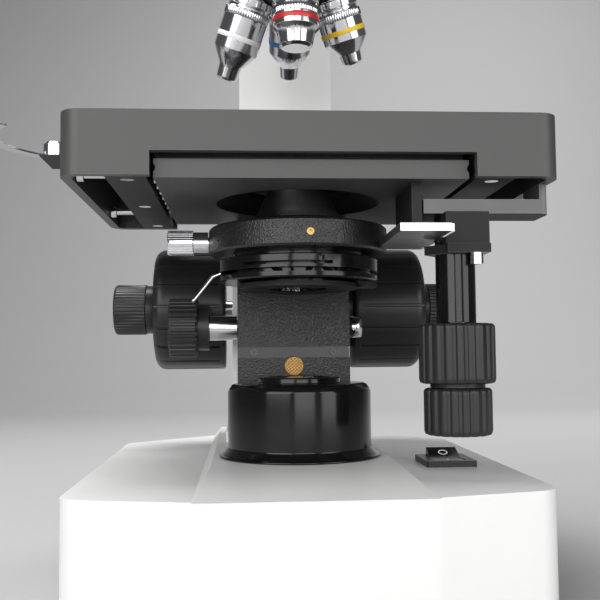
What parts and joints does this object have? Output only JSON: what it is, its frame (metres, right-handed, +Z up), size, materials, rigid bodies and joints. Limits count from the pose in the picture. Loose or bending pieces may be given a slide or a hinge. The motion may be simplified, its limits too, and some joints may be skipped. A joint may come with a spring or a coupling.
{
  "type": "compound microscope",
  "caption": "Compound laboratory microscope with built-in light, coaxial focus, mechanical stage, condenser, rotating nosepiece and inclined binocular head.",
  "frame": {"origin": "centre of the whole microscope's footprint box, at the table", "axes": "+Z up, +Y from the user's side towards the arm, +X to the right as the user sees it; the optical axis is vertical at x = 24 mm, y = -22.8 mm"},
  "size_m": [0.2691, 0.3149, 0.4599],
  "materials": {
    "white_paint": "satin, finely textured",
    "black_crinkle": "crinkle paint",
    "black_satin": "satin anodised black",
    "black_gloss": "gloss black",
    "black_plastic": "satin moulded",
    "steel": "turned",
    "chrome": "polished",
    "brass": "turned",
    "rubber": "matt",
    "glass": "coated",
    "ceramic": "matt",
    "circuit_board": "satin"
  },
  "bodies": {
    "base": {"base_shell": "white_paint", "bottom_cover": "steel", "rubber_feet": "rubber", "cover_screws": "chrome", "arm": "white_paint", "arm_bolts": "steel", "collector_housing": "black_gloss", "field_lens": "glass", "lamp_socket": "ceramic", "lamp": "glass", "power_board": "circuit_board", "mains_inlet": "black_plastic", "switch_bezel": "black_plastic", "dimmer_pot": "steel", "focus_bushes": "brass", "nosepiece_mount": "black_satin"},
    "rocker": {"switch_rocker": "black_plastic"},
    "dial": {"brightness_knob": "black_plastic"},
    "coarse_drive": {"coarse_tube": "steel", "coarse_knob_left": "black_plastic", "coarse_knob_right": "black_plastic"},
    "tension": {"tension_collar": "black_plastic"},
    "fine_drive": {"fine_shaft": "steel", "fine_knob_left": "black_plastic", "fine_knob_right": "black_plastic"},
    "coarse_slide": {"focus_slide": "steel", "focus_rack": "steel"},
    "stage": {"stage_bracket": "black_crinkle", "brass_stop": "brass", "lower_plate": "black_satin", "y_rack": "steel", "guide_balls": "steel"},
    "upper_stage": {"upper_plate": "black_satin", "rail_strips": "black_satin", "rail_screws": "chrome", "knob_bracket": "black_satin", "knob_sleeve": "black_satin"},
    "y_drive": {"y_knob": "black_plastic"},
    "x_drive": {"x_knob": "black_plastic"},
    "holder": {"slide_holder": "black_satin"},
    "finger": {"spring_finger": "chrome"},
    "condenser": {"condenser_ring": "black_crinkle", "condenser_rack": "brass", "condenser_body": "black_crinkle", "condenser_lenses": "glass"},
    "condenser_drive": {"condenser_knob": "black_plastic"},
    "centring": {"centring_screw": "chrome"},
    "iris": {"iris_ring": "steel"},
    "filter": {"filter_carrier": "black_satin"},
    "nosepiece": {"nosepiece_turret": "black_satin", "objective_4x": "chrome", "objective_10x": "chrome", "objective_40x": "chrome", "objective_100x": "chrome"},
    "head": {"head_housing": "white_paint"},
    "head_clamp": {"head_screw": "chrome"},
    "left_tube": {"eye_tube_left": "white_paint"},
    "right_tube": {"eye_tube_right": "white_paint"},
    "left_eyepiece": {"eyepiece_left": "black_plastic"},
    "right_eyepiece": {"eyepiece_right": "black_plastic"}
  },
  "joints": [
    {"name": "coarse_focus", "type": "slide", "parent": "base", "child": "coarse_slide", "axis": [0, 0, 1], "range_m": [-0.003, 0.033]},
    {"name": "fine_focus", "type": "slide", "parent": "coarse_slide", "child": "stage", "axis": [0, 0, 1], "range_m": [-0.001, 0.001]},
    {"name": "coarse_knobs", "type": "hinge", "parent": "base", "child": "coarse_drive", "pos_m": [0.024, 0.0794, 0.1403], "axis": [1, 0, 0], "range_deg": [-300, 30]},
    {"name": "tension_turn", "type": "hinge", "parent": "base", "child": "tension", "pos_m": [0.0583, 0.0794, 0.1403], "axis": [1, 0, 0], "range_deg": [0, 120]},
    {"name": "fine_knobs", "type": "hinge", "parent": "base", "child": "fine_drive", "pos_m": [0.024, 0.0794, 0.1403], "axis": [1, 0, 0], "range_deg": [-1801, 1801]},
    {"name": "stage_y", "type": "slide", "parent": "stage", "child": "upper_stage", "axis": [0, 1, 0], "range_m": [-0.028, 0.022]},
    {"name": "y_knob_turn", "type": "hinge", "parent": "upper_stage", "child": "y_drive", "pos_m": [0.0918, -0.0736, 0.1], "axis": [0, 0, 1], "range_deg": [-202, 159]},
    {"name": "stage_x", "type": "slide", "parent": "upper_stage", "child": "holder", "axis": [1, 0, 0], "range_m": [0, 0.075]},
    {"name": "x_knob_turn", "type": "hinge", "parent": "upper_stage", "child": "x_drive", "pos_m": [0.0918, -0.0736, 0.08], "axis": [0, 0, 1], "range_deg": [-1, 538]},
    {"name": "finger_open", "type": "hinge", "parent": "holder", "child": "finger", "pos_m": [-0.097, 0.0322, 0.222], "axis": [0, 0, 1], "range_deg": [-25, 0], "stiffness_Nm_per_rad": 0.05, "springref_deg": 5.73},
    {"name": "condenser_focus", "type": "slide", "parent": "stage", "child": "condenser", "axis": [0, 0, 1], "range_m": [-0.014, 0.012]},
    {"name": "condenser_knob_turn", "type": "hinge", "parent": "stage", "child": "condenser_drive", "pos_m": [0.024, 0.0257, 0.1272], "axis": [1, 0, 0], "range_deg": [-192, 165]},
    {"name": "centring_turn", "type": "hinge", "parent": "condenser", "child": "centring", "pos_m": [-0.026, -0.0228, 0.1683], "axis": [1, 0, 0], "range_deg": [-360, 360]},
    {"name": "iris_lever", "type": "hinge", "parent": "condenser", "child": "iris", "pos_m": [0.024, -0.0228, 0.151], "axis": [0, 0, 1], "range_deg": [-20, 45]},
    {"name": "filter_swing", "type": "hinge", "parent": "condenser", "child": "filter", "pos_m": [0.0575, -0.0308, 0.146], "axis": [0, 0, 1], "range_deg": [0, 80]},
    {"name": "rocker_press", "type": "hinge", "parent": "base", "child": "rocker", "pos_m": [0.0985, -0.018, 0.0567], "axis": [1, 0, 0], "range_deg": [-24, 0]},
    {"name": "brightness_turn", "type": "hinge", "parent": "base", "child": "dial", "pos_m": [-0.0784, 0.0222, 0.032], "axis": [1, 0, 0], "range_deg": [0, 270]},
    {"name": "nosepiece_turn", "type": "hinge", "parent": "base", "child": "nosepiece", "pos_m": [0.024, -0.0228, 0.36388], "axis": [0, 0.3256, -0.9455], "continuous": true},
    {"name": "head_turn", "type": "hinge", "parent": "base", "child": "head", "pos_m": [0.024, -0.0228, 0.38], "axis": [0, 0, 1], "continuous": true},
    {"name": "head_clamp_turn", "type": "hinge", "parent": "base", "child": "head_clamp", "pos_m": [0.064, -0.0228, 0.3685], "axis": [1, 0, 0], "range_deg": [-360, 360]},
    {"name": "left_tube_swing", "type": "hinge", "parent": "head", "child": "left_tube", "pos_m": [0.024, -0.0568, 0.415], "axis": [0, -0.866, 0.5], "range_deg": [-31, 8]},
    {"name": "right_tube_swing", "type": "hinge", "parent": "head", "child": "right_tube", "pos_m": [0.024, -0.0568, 0.415], "axis": [0, -0.866, 0.5], "range_deg": [-8, 31]},
    {"name": "left_eyepiece_turn", "type": "hinge", "parent": "left_tube", "child": "left_eyepiece", "pos_m": [-0.008, -0.1272, 0.43307], "axis": [0, -0.866, 0.5], "continuous": true},
    {"name": "right_eyepiece_turn", "type": "hinge", "parent": "right_tube", "child": "right_eyepiece", "pos_m": [0.056, -0.1272, 0.43307], "axis": [0, -0.866, 0.5], "continuous": true}
  ],
  "couplings": [
    {"joint": "coarse_knobs", "follows": "coarse_focus", "rad_per_m": -156.25},
    {"joint": "fine_knobs", "follows": "fine_focus", "rad_per_m": -31416},
    {"joint": "y_knob_turn", "follows": "stage_y", "rad_per_m": 125},
    {"joint": "x_knob_turn", "follows": "stage_x", "rad_per_m": 125},
    {"joint": "condenser_knob_turn", "follows": "condenser_focus", "rad_per_m": 238.1},
    {"joint": "right_tube_swing", "follows": "left_tube_swing", "ratio": -1}
  ]
}
